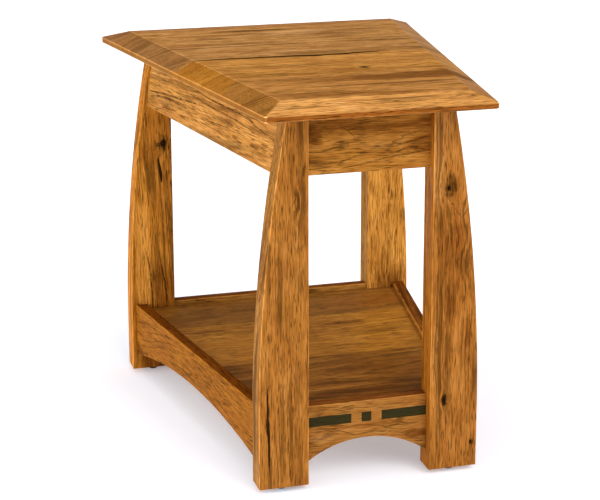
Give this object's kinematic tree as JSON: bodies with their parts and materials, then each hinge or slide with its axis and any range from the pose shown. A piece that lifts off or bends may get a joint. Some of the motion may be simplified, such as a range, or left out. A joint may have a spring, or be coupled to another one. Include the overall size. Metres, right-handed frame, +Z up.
{
  "type": "wedge-shaped side table",
  "caption": "Wedge-shaped side table, narrower in front, with a bevelled plank top, legs that curve in at the top, arched rails, a low plank shelf and dark inlays.",
  "frame": {"origin": "on the floor, under the middle of the table top", "axes": "+Z up; -Y is the narrow front with the inlays, +Y the wide back; +X is the right side seen from the front"},
  "size_m": [0.578, 0.736, 0.626],
  "materials": {
    "top_wood": "satin clear lacquer over an amber stain",
    "leg_wood": "satin clear lacquer over an amber stain",
    "apron_wood": "satin clear lacquer over an amber stain",
    "rail_wood": "satin clear lacquer over an amber stain",
    "shelf_wood": "satin clear lacquer over an amber stain",
    "inlay": "dyed black hardwood, sanded flush and lacquered",
    "glide": "moulded black plastic",
    "screw": "zinc-plated steel",
    "inner_wood": "bare planed hardwood"
  },
  "bodies": {
    "root": {"apron_back": "apron_wood", "apron_front": "apron_wood", "apron_left": "apron_wood", "apron_right": "apron_wood", "cleat_screws": "screw", "corner_block_back_left": "inner_wood", "corner_block_back_right": "inner_wood", "corner_block_front_left": "inner_wood", "corner_block_front_right": "inner_wood", "glide_back_left": "glide", "glide_back_right": "glide", "glide_front_left": "glide", "glide_front_right": "glide", "inlay_center": "inlay", "inlay_left": "inlay", "inlay_right": "inlay", "leg_back_left": "leg_wood", "leg_back_right": "leg_wood", "leg_front_left": "leg_wood", "leg_front_right": "leg_wood", "rail_back": "rail_wood", "rail_front": "rail_wood", "rail_left": "rail_wood", "rail_right": "rail_wood", "shelf_board_back": "shelf_wood", "shelf_board_front": "shelf_wood", "shelf_board_middle": "shelf_wood", "shelf_cleat_back": "inner_wood", "shelf_cleat_front": "inner_wood", "shelf_cleat_left": "inner_wood", "shelf_cleat_right": "inner_wood", "shelf_screws": "screw", "top_board_1": "top_wood", "top_board_2": "top_wood", "top_board_3": "top_wood", "top_board_4": "top_wood", "top_board_5": "top_wood", "top_buttons": "inner_wood", "top_screws": "screw"}
  },
  "joints": []
}
